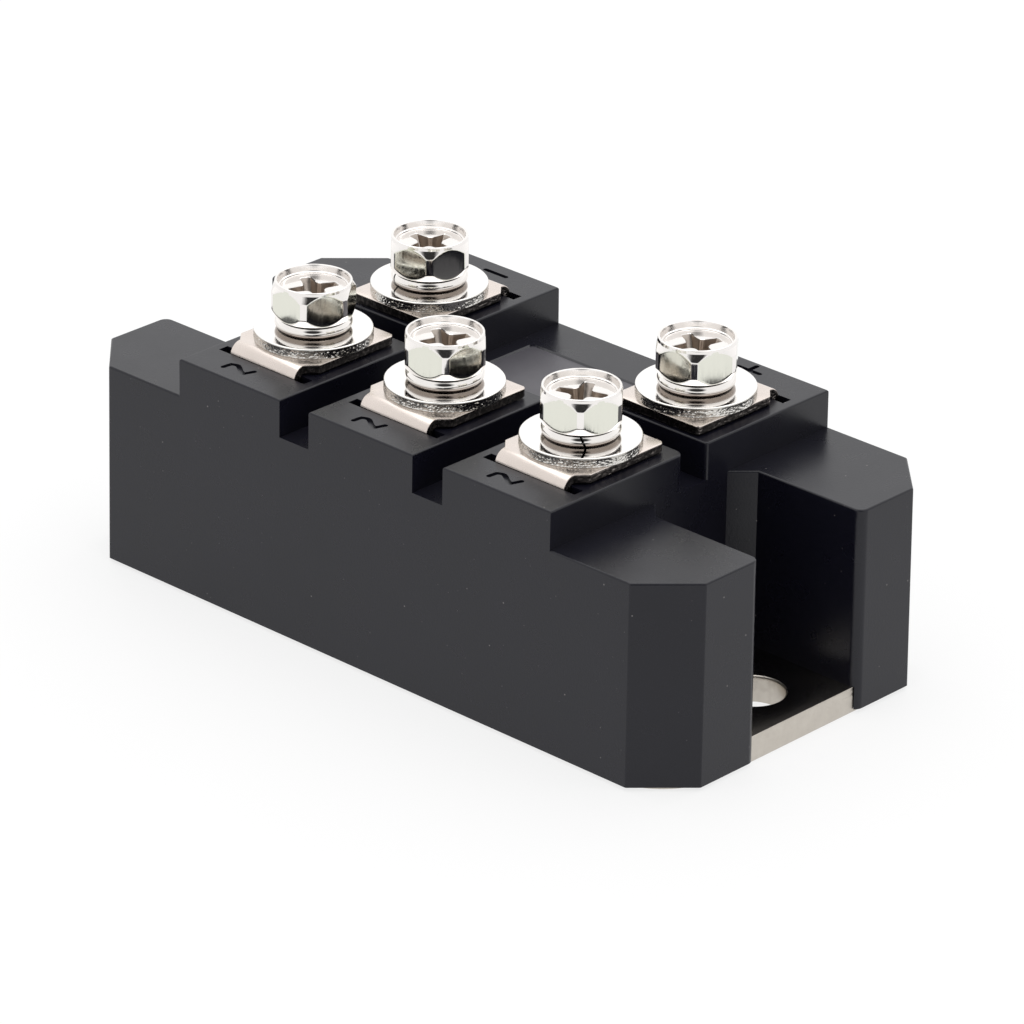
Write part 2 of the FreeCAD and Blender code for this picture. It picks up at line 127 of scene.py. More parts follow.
# Bent terminals
SHEET = 0.9
BEND_OUTER = 1.35
NECK_FACE_Y = 15.35
FOOT_LENGTH = 4.4
NECK_WIDTH = 8.95
LOWER_NECK_WIDTH = 6.4
LOWER_NECK_TOP = 12.4
TAB_WIDTH = 11.1
TAB_TAPER = 1.2
TAB_CORNER = 0.6
TAB_HOLE = 5.5

# Base plate
PLATE_CORNER = 7.6
PLATE_ROUND = 0.2
ROUGH_BAND = 0.45
HOLE_PITCH = 67.0
HOLE_RADIUS = 3.2
HOLE_ROLL = 0.25

# Marks sunk into the tops of the terminal blocks; the wave is drawn in three smooth strokes
MARK_WIDTH = 0.55
MARK_DEPTH = 0.3
WAVE_START = (-2.6, -18.1)
WAVE = (((0.0, 0.0), (0.1, 1.0)),
        ((0.1, 1.0), (0.85, 1.2), (1.9, 0.53), (2.6, 0.2)),
        ((2.6, 0.2), (3.0, 1.3)))
BAR_HALF = 1.4
BAR_Y = 17.9
PLUS_SHIFT = -1.7
PLUS_HALF = 1.2


def interval(node):
    """Lowest and highest corner of a CAD node, in millimetres."""
    low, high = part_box(node)
    return Vector(low) / MM, Vector(high) / MM


def tree_of(name):
    """New material with its node tree and its main shader."""
    material = bpy.data.materials.new(name)
    material.use_nodes = True
    tree = material.node_tree
    return material, tree, tree.nodes["Principled BSDF"]


def sockets(material):
    """Node tree of a finish, and the sockets of its colour and roughness."""
    tree = material.node_tree
    inputs = tree.nodes["Principled BSDF"].inputs
    return tree, inputs["Base Color"], inputs["Roughness"]


def add_node(tree, kind, **values):
    """New shader node with some of its inputs set."""
    node = tree.nodes.new(kind)
    for name, value in values.items():
        node.inputs[name].default_value = value
    return node


def object_place(tree, stretch=(1.0, 1.0, 1.0)):
    """Output with the place on the object, stretched along each axis."""
    place = tree.nodes.new("ShaderNodeTexCoord")
    mapping = tree.nodes.new("ShaderNodeMapping")
    mapping.inputs["Scale"].default_value = stretch
    tree.links.new(place.outputs["Object"], mapping.inputs["Vector"])
    return mapping.outputs["Vector"]


def noise_value(tree, scale, detail=3.0, stretch=(1.0, 1.0, 1.0)):
    """Output with noise from 0 to 1; scale counts its features per metre."""
    texture = add_node(tree, "ShaderNodeTexNoise", Scale=scale, Detail=detail)
    tree.links.new(object_place(tree, stretch), texture.inputs["Vector"])
    return texture.outputs["Fac"]


def spread(tree, value, from_range, to_range):
    """Output with a value mapped from one range to another, clamped."""
    mapper = add_node(tree, "ShaderNodeMapRange")
    for name, number in zip(("From Min", "From Max"), from_range):
        mapper.inputs[name].default_value = number
    for name, number in zip(("To Min", "To Max"), to_range):
        mapper.inputs[name].default_value = number
    tree.links.new(value, mapper.inputs["Value"])
    return mapper.outputs["Result"]


def blend_colours(tree, factor, low, high):
    """Output with a colour between two colours."""
    mix = tree.nodes.new("ShaderNodeMix")
    mix.data_type = "RGBA"
    for name, colour in (("A", low), ("B", high)):
        socket = [s for s in mix.inputs if s.name == name and s.type == "RGBA"][0]
        socket.default_value = (*colour, 1.0)
    tree.links.new(factor, mix.inputs["Factor"])
    return [s for s in mix.outputs if s.type == "RGBA"][0]


def combined(tree, operation, first, second):
    """Output of a sum on two outputs."""
    node = tree.nodes.new("ShaderNodeMath")
    node.operation = operation
    tree.links.new(first, node.inputs[0])
    tree.links.new(second, node.inputs[1])
    return node.outputs[0]


def overlay(tree, factor, socket, value):
    """Another value over what a shader's socket is linked to, where the factor is 1."""
    under = socket.links[0].from_socket
    mix = tree.nodes.new("ShaderNodeMix")
    kind = "VALUE" if isinstance(value, float) else "RGBA"
    mix.data_type = "FLOAT" if kind == "VALUE" else "RGBA"
    low, high = [s for s in mix.inputs if s.type == kind and s.name in ("A", "B")]
    high.default_value = value if kind == "VALUE" else (*value, 1.0)
    tree.links.new(under, low)
    tree.links.new(factor, mix.inputs["Factor"])
    tree.links.new([s for s in mix.outputs if s.type == kind][0], socket)


def facing(tree, axis):
    """Output with one part of the surface's own direction."""
    geometry = tree.nodes.new("ShaderNodeNewGeometry")
    parts = tree.nodes.new("ShaderNodeSeparateXYZ")
    tree.links.new(geometry.outputs["True Normal"], parts.inputs["Vector"])
    return parts.outputs[axis]


def face_mark(tree, name):
    """Output with a face attribute of the mesh."""
    node = tree.nodes.new("ShaderNodeAttribute")
    node.attribute_name = name
    return node.outputs["Fac"]


def specks(tree, scale, radius, share):
    """Output that is 1 on a round speck in a share of the cells of a pattern."""
    cells = add_node(tree, "ShaderNodeTexVoronoi", Scale=scale)
    tree.links.new(object_place(tree), cells.inputs["Vector"])
    chosen = add_node(tree, "ShaderNodeSeparateColor")
    tree.links.new(cells.outputs["Color"], chosen.inputs["Color"])
    spot = spread(tree, cells.outputs["Distance"], (radius * 0.6, radius), (1.0, 0.0))
    rare = spread(tree, chosen.outputs["Red"], (1.0 - share, 1.01 - share), (0.0, 1.0))
    return combined(tree, "MULTIPLY", spot, rare)


def add_bump(tree, shader, height, strength, distance):
    """Bump on a shader from a height output; distance in metres."""
    bump = add_node(tree, "ShaderNodeBump", Strength=strength, Distance=distance)
    tree.links.new(height, bump.inputs["Height"])
    tree.links.new(bump.outputs["Normal"], shader.inputs["Normal"])


def housing_plastic():
    """Black moulded plastic with a fine grain, painted light on the floor of the field and specks of dust."""
    material, tree, shader = tree_of("housing_plastic")
    shader.inputs["Specular IOR Level"].default_value = 0.38
    tree, colour, rough = sockets(material)
    tint = blend_colours(tree, noise_value(tree, 90.0), (0.0042, 0.0042, 0.0085), (0.0066, 0.0065, 0.0125))
    tree.links.new(tint, colour)
    tree.links.new(spread(tree, noise_value(tree, 260.0), (0.3, 0.7), (0.26, 0.32)), rough)
    # Painted light: up-facing faces at and below the floor of the field get a lighter grey in patches, and a
    # higher roughness.
    level = tree.nodes.new("ShaderNodeSeparateXYZ")
    tree.links.new(object_place(tree), level.inputs["Vector"])
    near_floor = ((FIELD_HEIGHT + 0.02) * MM, (FIELD_HEIGHT + 0.08) * MM)
    low = spread(tree, level.outputs["Z"], near_floor, (1.0, 0.0))
    floor = combined(tree, "MULTIPLY", low, spread(tree, facing(tree, "Z"), (0.8, 0.95), (0.0, 1.0)))
    patchy = spread(tree, noise_value(tree, 150.0), (0.3, 0.7), (0.75, 1.0))
    painted_light_on_field = combined(tree, "MULTIPLY", floor, patchy)
    overlay(tree, painted_light_on_field, colour, (0.090, 0.086, 0.098))
    overlay(tree, painted_light_on_field, rough, 0.38)
    overlay(tree, specks(tree, 620.0, 0.06, 0.25), colour, (0.15, 0.14, 0.14))
    overlay(tree, specks(tree, 1500.0, 0.09, 0.16), colour, (0.08, 0.075, 0.08))
    add_bump(tree, shader, noise_value(tree, 5200.0, 4.0), 0.35, 0.00003)
    return material


def plating(name, low, high, roughness, grain, stretch=(1.0, 1.0, 1.0)):
    """Nickel plate between two tints, with a grain in its roughness and height."""
    material, tree, shader = tree_of(name)
    shader.inputs["Metallic"].default_value = 1.0
    tint = blend_colours(tree, noise_value(tree, 420.0), low, high)
    tree.links.new(tint, shader.inputs["Base Color"])
    value = noise_value(tree, grain, 4.0, stretch)
    rough = spread(tree, value, (0.3, 0.7), roughness)
    tree.links.new(rough, shader.inputs["Roughness"])
    add_bump(tree, shader, value, GRAIN_STRENGTH, GRAIN_DEPTH)
    return material


def plate_plating():
    """Nickel on the base plate: mirror-like above and below, dull on the sheared edges."""
    material, tree, shader = tree_of("plated_plate")
    shader.inputs["Metallic"].default_value = 1.0
    tint = blend_colours(tree, noise_value(tree, 600.0), (0.52, 0.48, 0.43), (0.62, 0.58, 0.52))
    tree.links.new(tint, shader.inputs["Base Color"])
    grain = noise_value(tree, 2200.0, 4.0)
    rough = shader.inputs["Roughness"]
    tree.links.new(spread(tree, grain, (0.3, 0.7), (0.28, 0.45)), rough)
    up = facing(tree, "Z")
    level = combined(tree, "MULTIPLY", up, up)
    overlay(tree, spread(tree, level, (0.81, 0.96), (0.0, 1.0)), rough, 0.16)
    add_bump(tree, shader, grain, 0.25, GRAIN_DEPTH)
    return material


def screw_plating():
    """Bright plate on the screws: greener on the six flats, with painted shade in the cross recess."""
    low, high = (0.85, 0.82, 0.79), (0.91, 0.88, 0.86)
    material = plating("plated_screw", low, high, (0.05, 0.15), 5200.0, stretch=(1.0, 1.0, 0.06))
    tree, colour, rough = sockets(material)
    overlay(tree, face_mark(tree, "flat"), colour, (0.76, 0.76, 0.68))
    # Painted shade: the faces of the cross recess get a darker brown and a higher roughness.
    overlay(tree, face_mark(tree, "recess"), colour, (0.52, 0.46, 0.41))
    overlay(tree, face_mark(tree, "recess"), rough, 0.3)
    # Painted shade: a near-black band where the head sits on its spring washer.
    overlay(tree, face_mark(tree, "joint_shade"), colour, JOINT_SHADE)
    return material


def spring_plating():
    """Bright plate on the spring washers, with painted shade: brown on the faces turned down and dark where
    they meet their neighbours.
    """
    material = plating("plated_spring", (0.84, 0.81, 0.78), (0.90, 0.87, 0.84), (0.05, 0.12), 900.0)
    tree, colour, _ = sockets(material)
    # Painted shade: faces turned down get a dark brown.
    overlay(tree, spread(tree, facing(tree, "Z"), (-0.3, -0.05), (1.0, 0.0)), colour, (0.30, 0.26, 0.23))
    # Painted shade: a near-black band where the washer meets the screw head and the flat washer.
    overlay(tree, face_mark(tree, "joint_shade"), colour, JOINT_SHADE)
    return material


def washer_plating():
    """Bright plate on the flat washers, with painted shade and a higher roughness on the faces that turn
    sideways and down at the sheared rim.
    """
    material = plating("plated_washer", (0.90, 0.88, 0.86), (0.94, 0.92, 0.90), (0.06, 0.13), 500.0)
    tree, colour, rough = sockets(material)
    # Painted shade: faces that turn sideways and down get a darker colour; the higher roughness goes with the
    # sheared rim.
    rim = spread(tree, facing(tree, "Z"), (0.25, 0.6), (1.0, 0.0))
    overlay(tree, rim, colour, (0.60, 0.58, 0.54))
    overlay(tree, rim, rough, 0.2)
    return material


def terminal_plating():
    """Pale plate on the terminals, with a painted dark reflection on the sheared edges and streaks of plate
    dragged over them.
    """
    material = plating("plated_terminal", (0.68, 0.61, 0.56), (0.77, 0.69, 0.64), (0.18, 0.32), 700.0)
    tree, colour, rough = sockets(material)
    # Painted reflection: the sheared edges get a near-black colour, lighter in streaks, and a higher
    # roughness.
    streaks = spread(tree, noise_value(tree, 2400.0, 4.0), (0.48, 0.70), (1.0, 0.65))
    dark = combined(tree, "MULTIPLY", face_mark(tree, "sheared"), streaks)
    overlay(tree, dark, colour, (0.10, 0.09, 0.085))
    overlay(tree, dark, rough, 0.28)
    return material


def plain(name, low, high, roughness, grain, metallic=0.0, transmission=0.0):
    """Plain finish between two tints, for the pieces inside."""
    material, tree, shader = tree_of(name)
    shader.inputs["Metallic"].default_value = metallic
    shader.inputs["Transmission Weight"].default_value = transmission
    tint = blend_colours(tree, noise_value(tree, grain), low, high)
    tree.links.new(tint, shader.inputs["Base Color"])
    rough = spread(tree, noise_value(tree, grain * 3), (0.3, 0.7), roughness)
    tree.links.new(rough, shader.inputs["Roughness"])
    return material


def make_materials():
    """Every material by the name of its slot."""
    made = {"housing_plastic": housing_plastic()}
    made["plated_plate"] = plate_plating()
    made["plated_terminal"] = terminal_plating()
    made["plated_washer"] = washer_plating()
    made["plated_spring"] = spring_plating()
    made["plated_screw"] = screw_plating()
    made["plated_nut"] = plating("plated_nut", (0.70, 0.66, 0.62), (0.78, 0.74, 0.70), (0.15, 0.3), 900.0)
    made["copper"] = plain("copper", (0.66, 0.33, 0.20), (0.76, 0.42, 0.27), (0.25, 0.4), 400.0, metallic=1.0)
    made["ceramic"] = plain("ceramic", (0.80, 0.79, 0.75), (0.87, 0.86, 0.83), (0.5, 0.65), 500.0)
    made["silicon"] = plain("silicon", (0.06, 0.065, 0.08), (0.1, 0.105, 0.13), (0.1, 0.2), 300.0)
    made["gel"] = plain("gel", (0.70, 0.70, 0.66), (0.80, 0.80, 0.77), (0.1, 0.2), 200.0, transmission=0.6)
    return made


def new_mesh(name, points, faces, sharp_angle):
    """Mesh from points in millimetres, smooth but for the edges over an angle."""
    mesh = bpy.data.meshes.new(name)
    mesh.from_pydata([Vector(p) * MM for p in points], [], faces)
    mesh.validate()
    mesh.shade_smooth()
    mesh.set_sharp_from_angle(angle=math.radians(sharp_angle))
    return mesh


def new_object(name, mesh):
    """Object that holds a mesh, in the scene."""
    made = bpy.data.objects.new(name, mesh)
    bpy.context.collection.objects.link(made)
    return made


def new_piece(name, mesh, slot):
    """Piece that rides on the frame and stands for the CAD node of the same name."""
    piece = new_object(name + "_visual", mesh)
    piece.data.materials.clear()
    piece.data.materials.append(MATERIALS[slot])
    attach(piece, "root")
    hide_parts(name)
    return piece


def carve(body, tools, sharp_angle):
    """Cut closed tools out of a closed body and drop the tools."""
    for tool in tools:
        cut = body.modifiers.new("cut", "BOOLEAN")
        cut.operation = "DIFFERENCE"
        cut.solver = "EXACT"
        cut.object = tool
    graph = bpy.context.evaluated_depsgraph_get()
    body.data = bpy.data.meshes.new_from_object(body.evaluated_get(graph))
    body.modifiers.clear()
    for tool in tools:
        bpy.data.objects.remove(tool)
    body.data.shade_smooth()
    body.data.set_sharp_from_angle(angle=math.radians(sharp_angle))


def rounded(corners, closed, steps=5):
    """Points of an outline of (u, v, radius) corners, each corner turned into an arc."""
    points = []
    count = len(corners)
    for i, (u, v, radius) in enumerate(corners):
        here = Vector((u, v))
        if radius == 0 or (not closed and i in (0, count - 1)):
            points.append(here)
            continue
        back = (Vector(corners[i - 1][:2]) - here).normalized()
        ahead = (Vector(corners[(i + 1) % count][:2]) - here).normalized()
        half = back.angle(ahead) / 2
        centre = here + (back + ahead).normalized() * radius / math.sin(half)
        start = here + back * radius / math.tan(half) - centre
        end = here + ahead * radius / math.tan(half) - centre
        turn = math.pi - 2 * half
        for k in range(steps + 1):
            a = turn * k / steps
            points.append(centre + (start * math.sin(turn - a) + end * math.sin(a)) / math.sin(turn))
    return points


def densify(points, spacing, closed, least=None):
    """Outline with extra points so that none lie farther apart than the spacing.

    A long run that starts or ends nearer the axis than the least radius gets one near each end only.
    """
    result = []
    last = len(points) if closed else len(points) - 1
    for i in range(last):
        a, b = points[i], points[(i + 1) % len(points)]
        length = (b - a).length
        cuts = max(1, math.ceil(length / spacing))
        shares = [k / cuts for k in range(cuts)]
        if least is not None and min(a.x, b.x) < least and cuts > 3:
            shares = [0.0, spacing / length, 1.0 - spacing / length]
        result += [a.lerp(b, share) for share in shares]
    return result if closed else result + [points[-1]]


def joined_rings(rings, loop):
    """Points and faces of a tube through rings of equal length, looped or closed at both ends."""
    size = len(rings[0])
    points = [p for ring in rings for p in ring]
    faces = []
    for i in range(len(rings) if loop else len(rings) - 1):
        a, b = i * size, (i + 1) % len(rings) * size
        faces += [(a + k, a + (k + 1) % size, b + (k + 1) % size, b + k) for k in range(size)]
    if not loop:
        faces.append(tuple(range(size))[::-1])
        faces.append(tuple(range(len(points) - size, len(points))))
    return points, faces


def turned(profile, segments):
    """Points and faces of a closed profile of (radius, height) turned about the Z axis."""
    rings = []
    for radius, height in profile:
        angles = [2 * math.pi * k / segments for k in range(segments)]
        rings.append([Vector((radius * math.cos(a), radius * math.sin(a), height)) for a in angles])
    return joined_rings(rings, True)


def moved(points, centre, height):
    """Points shifted to a place."""
    shift = Vector((centre.x, centre.y, height))
    return [p + shift for p in points]


def mark_faces(mesh, name, chosen):
    """Face attribute of a mesh: 1 on the faces that a test picks."""
    values = [1.0 if chosen(face) else 0.0 for face in mesh.polygons]
    mesh.attributes.new(name, "FLOAT", "FACE").data.foreach_set("value", values)


def rim_roughness(p, depth, along, across):
    """Depth of a sheared surface at a point, rougher along than across."""
    spot = Vector((p.x * along, p.y * along, p.z * across))
    value = noise.noise(spot) + 0.5 * noise.noise(spot * 2.3)
    return depth * min(1.0, abs(value) * 1.6)


def flat_washer(name):
    """Flat washer with a rolled top edge and a rough sheared rim."""
    node = "flat_washer_" + name
    low, high = interval(node)
    outer = (high.x - low.x) / 2
    thick = high.z - low.z
    bore = WASHER_BORE / 2
    corners = [(bore, 0, 0.05), (outer, 0, 0.06), (outer, thick, 0.12), (bore, thick, 0.08)]
    profile = densify(rounded(corners, True), 0.07, True, outer - 0.2)
    points, faces = turned(profile, WASHER_SEGMENTS)
    centre = (low + high) / 2
    shaped = []
    for p in points:
        radius = math.hypot(p.x, p.y)
        below_top = min(1.0, max(0.0, (thick * 0.8 - p.z) / 0.1))
        inside = below_top * min(1.0, max(0.0, (p.z - 0.08) / 0.08))
        if radius > outer - 0.01 and inside > 0:
            deep = inside * rim_roughness(p + centre, RIM_DEPTH, 10.0, 5.0)
            p = Vector((p.x * (1 - deep / radius), p.y * (1 - deep / radius), p.z))
        shaped.append(p)
    new_piece(node, new_mesh(node, moved(shaped, centre, low.z), faces, 40), "plated_washer")


def spring_washer(name):
    """Split spring washer with a bulged section and a leaning split."""
    node = "spring_washer_" + name
    low, high = interval(node)
    outer = max(high.x - low.x, high.y - low.y) / 2
    thick = high.z - low.z
    bore = SPRING_BORE / 2
    shares = [k / 6 for k in range(-5, 6)]
    bulge = [(outer - SPRING_BULGE * t * t, thick * (1 + t) / 2, 0) for t in shares]
    ends = [(outer - SPRING_BULGE, z, 0.07) for z in (0, thick)]
    corners = [(bore, 0, 0.15), ends[0], *bulge, ends[1], (bore, thick, 0.15)]
    section = densify(rounded(corners, True), 0.15, True)
    middle_radius = (outer + bore) / 2
    gap = SPLIT_WIDTH / middle_radius
    rings = []
    for k in range(SPRING_STEPS + 1):
        ring = []
        for radius, height in section:
            lean = math.tan(math.radians(SPLIT_LEAN)) * (height - thick / 2) / middle_radius
            angle = math.radians(SPRING_SPLIT[name]) - lean + gap / 2 + (2 * math.pi - gap) * k / SPRING_STEPS
            ring.append(Vector((radius * math.cos(angle), radius * math.sin(angle), height)))
        rings.append(ring)
    points, faces = joined_rings(rings, False)
    x, y = axis_of(name)
    mesh = new_mesh(node, moved(points, Vector((x, y)), low.z), faces, 35)

    def at_joint(face):
        """Whether a face lies where the washer meets the screw head or the flat washer."""
        off = face.center / MM - Vector((x, y, low.z))
        return min(off.z, thick - off.z) < JOINT_LINE

    # Faces at the joints carry a painted shade.
    mark_faces(mesh, "joint_shade", at_joint)
    new_piece(node, mesh, "plated_spring")


def axis_of(name):
    """Place in plan of a terminal's screw."""
    low, high = interval("flat_washer_" + name)
    return (low.x + high.x) / 2, (low.y + high.y) / 2


def soft_lower(a, b, width):
    """The lower of two values, blended where they come close."""
    near = max(width - abs(a - b), 0.0) / width
    return min(a, b) - near * near * width / 4


def head_shell(hexagon_turn, height):
    """Screw head with flats cut into a turned blank, dished on top."""
    corner = HEAD_CORNER / 2
    shoulder = HEAD_ACROSS_FLATS / 2
    rim = HEAD_RIM / 2
    floor = height - DISH_DEPTH
    inner = DISH_FLOOR / 2
    corners = [(0.0, 0.0, 0), (HEAD_SEAT / 2, 0.0, 0.05), (shoulder, 0.14, 0.06), (corner, LOWER_CONE, 0.4)]
    corners += [(corner, height - UPPER_CONE, 0.5), (shoulder, height - COLLAR, 0.12), (rim, height, 0.08)]
    corners += [(rim - RIM_WIDTH, height, 0.05), (inner + LEDGE_WIDTH, height - LEDGE_DEPTH, 0.06)]
    corners += [(inner + 0.02, height - LEDGE_DEPTH - 0.04, 0.05), (inner, floor, 0.06), (0.0, floor, 0)]
    profile = densify(rounded(corners, False), 0.12, False, inner + 0.1)
    rings = []
    for radius, z in profile[1:-1]:
        ring = []
        for k in range(HEAD_SEGMENTS):
            angle = 2 * math.pi * k / HEAD_SEGMENTS
            off = (math.degrees(angle) - hexagon_turn) % 60 - 30
            flat = shoulder / math.cos(math.radians(off))
            reach = soft_lower(radius, flat, FLAT_BLEND)
            ring.append(Vector((reach * math.cos(angle), reach * math.sin(angle), z)))
        rings.append(ring)
    return joined_rings(rings, False)


def cross_tool(turn):
    """Tapered cross for the recess, its mouth slightly flared, at the height of the dish floor."""
    levels = [(0.3, 1.12), (0.0, 1.12), (-0.07, 1.0), (-0.6, 0.9), (-1.3, 0.72), (-CROSS_DEPTH, 0.5)]
    rings = []
    for height, share in levels:
        half = CROSS_HALF_WIDTH * (CROSS_TIP_WIDTH + (1 - CROSS_TIP_WIDTH) * share)
        reach = CROSS_REACH * 1.03
        if height < 0:
            reach = CROSS_REACH * (CROSS_TIP_REACH + (1 - CROSS_TIP_REACH) * share)
        corner = CROSS_CORNER * share
        quarter = [(reach - 0.1, -half * 0.8), (reach, -half * 0.5)]
        quarter += [(reach, half * 0.5), (reach - 0.1, half * 0.8)]
        for k in range(7):
            a = math.radians(270 - 15 * k)
            quarter.append((half + corner * (1 + math.cos(a)), half + corner * (1 + math.sin(a))))
        ring = []
        for q in range(4):
            spin = math.radians(turn + 90 * q)
            for x, y in quarter:
                ring.append(Vector((x * math.cos(spin) - y * math.sin(spin),
                                    x * math.sin(spin) + y * math.cos(spin), height)))
        rings.append(ring)
    return joined_rings(rings[::-1], False)


def threaded_shank(length):
    """Shank with a triangular thread, from inside the head down to its tip."""
    outer = THREAD_OUTER / 2
    step = THREAD_PITCH / 8
    rings = []
    count = int(length / step)
    for i in range(count + 1):
        height = -length + (length + 0.3) * i / count
        taper = min(1.0, 0.75 + 0.25 * (height + length) / 0.5)
        ring = []
        for k in range(THREAD_SEGMENTS):
            angle = 2 * math.pi * k / THREAD_SEGMENTS
            phase = (height / THREAD_PITCH - k / THREAD_SEGMENTS) % 1.0
            radius = (outer - THREAD_DEPTH * abs(2 * phase - 1)) * taper
            ring.append(Vector((radius * math.cos(angle), radius * math.sin(angle), height)))
        rings.append(ring)
    return joined_rings(rings, False)


def screw(name):
    """Screw with a dished hexagonal head, a cross recess and a threaded shank."""
    node = "screw_" + name
    low, high = interval(node)
    seat = interval("spring_washer_" + name)[1].z
    x, y = axis_of(name)
    place = Vector((x, y))
    points, faces = head_shell(HEXAGON_TURN[name], high.z - seat)
    head = new_object(node + "_head", new_mesh(node, moved(points, place, seat), faces, 40))
    points, faces = cross_tool(CROSS_TURN[name])
    floor = high.z - DISH_DEPTH
    tool = new_object(node + "_cross", new_mesh("cross", moved(points, place, floor), faces, 40))
    carve(head, [tool], 30)
    points, faces = threaded_shank(seat - low.z)
    shank = new_mesh("shank", moved(points, place, seat), faces, 60)
    mesh = join_meshes(node, [head.data, shank])
    bpy.data.objects.remove(head)

    def in_recess(face):
        """Whether a face lies in the cross recess."""
        off = face.center / MM - Vector((x, y, floor))
        return -CROSS_DEPTH - 0.1 < off.z < -0.02 and math.hypot(off.x, off.y) < CROSS_REACH + 0.3

    def on_flat(face):
        """Whether a face lies on one of the six flats of the head."""
        off = face.center / MM - Vector((x, y, seat))
        turn = (math.degrees(math.atan2(off.y, off.x)) - HEXAGON_TURN[name]) % 60 - 30
        flat = HEAD_ACROSS_FLATS / 2 / math.cos(math.radians(turn))
        return abs(math.hypot(off.x, off.y) - flat) < FLAT_LIMIT and abs(face.normal.z) < 0.2

    # The faces of the cross recess carry a painted shade.
    mark_faces(mesh, "recess", in_recess)
    mark_faces(mesh, "flat", on_flat)
    # Faces just above the seat carry a painted shade.
    middle = seat + JOINT_LINE / 2
    mark_faces(mesh, "joint_shade", lambda face: abs(face.center.z / MM - middle) < JOINT_LINE / 2)
    new_piece(node, mesh, "plated_screw")


def join_meshes(name, meshes):
    """One mesh with everything of several, each kept as it is."""
    holders = [new_object(name + "_part", mesh) for mesh in meshes]
    with bpy.context.temp_override(active_object=holders[0], selected_editable_objects=holders):
        bpy.ops.object.join()
    mesh = holders[0].data
    bpy.data.objects.remove(holders[0])
    return mesh


def outline_normals(outline):
    """Outward direction at each point of an anticlockwise outline."""
    count = len(outline)
    normals = []
    for i in range(count):
        along = (outline[(i + 1) % count] - outline[i - 1]).normalized()
        normals.append(Vector((along.y, -along.x)))
    return normals


def sheet_piece(outlines, rows, extra_edges=()):
    """Points and faces of a sheet inside its first outline and outside the others.

    Each outline runs anticlockwise round the metal's left side, and each row is (inset, depth).
    """
    points, faces, loops = [], [], []
    for outline, outline_rows in zip(outlines, rows):
        normals = outline_normals(outline)
        loop_rows = []
        for inset, depth in outline_rows:
            start = len(points)
            points += [Vector((*(p - n * inset), depth)) for p, n in zip(outline, normals)]
            loop_rows.append(range(start, len(points)))
        for upper, lower in zip(loop_rows, loop_rows[1:]):
            size = len(upper)
            faces += [(upper[k], lower[k], lower[(k + 1) % size], upper[(k + 1) % size]) for k in range(size)]
        loops.append((loop_rows[0], loop_rows[-1]))
    for side in (0, 1):
        flat, edges, index = [], [], []
        for pair in loops:
            loop = pair[side]
            start = len(flat)
            flat += [points[i].xy for i in loop]
            index += list(loop)
            edges += [(start + k, start + (k + 1) % len(loop)) for k in range(len(loop))]
        edges += extra_edges
        found, _, triangles, sources, _, _ = delaunay_2d_cdt(flat, edges, [], 1, 0.0001)
        names = [index[s[0]] if s else None for s in sources]
        holes = [[points[i].xy for i in pair[side]] for pair in loops[1:]]
        for triangle in triangles:
            middle = sum((found[i] for i in triangle), Vector((0, 0))) / 3
            if any(inside(middle, hole) for hole in holes):
                continue
            face = tuple(names[i] for i in triangle)
            faces.append(face if side == 0 else face[::-1])
    return points, faces


def inside(point, loop):
    """Whether a point lies inside a closed outline."""
    crossings = 0
    for a, b in zip(loop, loop[1:] + loop[:1]):
        if (a.y > point.y) != (b.y > point.y):
            x = a.x + (point.y - a.y) * (b.x - a.x) / (b.y - a.y)
            crossings += x > point.x
    return crossings % 2 == 1


def circle(radius, x, y, segments):
    """Closed clockwise circle of points in plan, for a hole."""
    angles = [-2 * math.pi * k / segments for k in range(segments)]
    return [Vector((x + radius * math.cos(a), y + radius * math.sin(a))) for a in angles]


def base_plate():
    """Stamped base plate: rough upper band on its edge, rounded lower edge, rolled hole rims.

    The rows run down from the upper face, and the points are turned over at the end.
    """
    low, high = interval("base_plate")
    half_x, half_y, thick = high.x, high.y, high.z
    corners = [(-half_x, -half_y), (half_x, -half_y), (half_x, half_y), (-half_x, half_y)]
    outline = rounded([(x, y, PLATE_CORNER) for x, y in corners], True, 40)
    outline = densify(outline, 0.2, True)
    outer_rows = [(0.04, 0.0), (0.01, 0.015), (0.0, 0.05)]
    outer_rows += [(0.0, 0.05 + (thick - PLATE_ROUND - 0.05) * k / 26) for k in range(1, 27)]
    quarter = [math.radians(15 * k) for k in range(7)]
    outer_rows += [(PLATE_ROUND * (1 - math.cos(a)), thick - PLATE_ROUND + PLATE_ROUND * math.sin(a))
                   for a in quarter[1:]]
    outlines = [outline]
    rows = [outer_rows]
    roll = HOLE_ROLL
    for x in (-HOLE_PITCH / 2, HOLE_PITCH / 2):
        outlines.append(circle(HOLE_RADIUS, x, 0.0, 144))
        hole = [(roll * (1 - math.sin(a)), roll * (1 - math.cos(a))) for a in quarter]
        hole += [(0.0, roll + (thick - roll) * k / 16) for k in range(1, 17)]
        rows.append(hole)
    points, faces = sheet_piece(outlines, rows)
    shaped = []
    for p in points:
        deep = 0.0
        share = p.z / thick
        on_edge = abs(p.x) > half_x - 0.02 or abs(p.y) > half_y - 0.02
        if on_edge and 0.02 < share < ROUGH_BAND:
            deep = rim_roughness(p, RIM_DEPTH, 3.0, 3.5) * min(1.0, (ROUGH_BAND - share) / 0.1)
        if abs(p.x) > half_x - 0.02:
            p = Vector((p.x - math.copysign(deep, p.x), p.y, p.z))
        elif on_edge:
            p = Vector((p.x, p.y - math.copysign(deep, p.y), p.z))
        shaped.append(Vector((p.x, p.y, thick - p.z)))
    new_piece("base_plate", new_mesh("base_plate", shaped, faces, 35), "plated_plate")


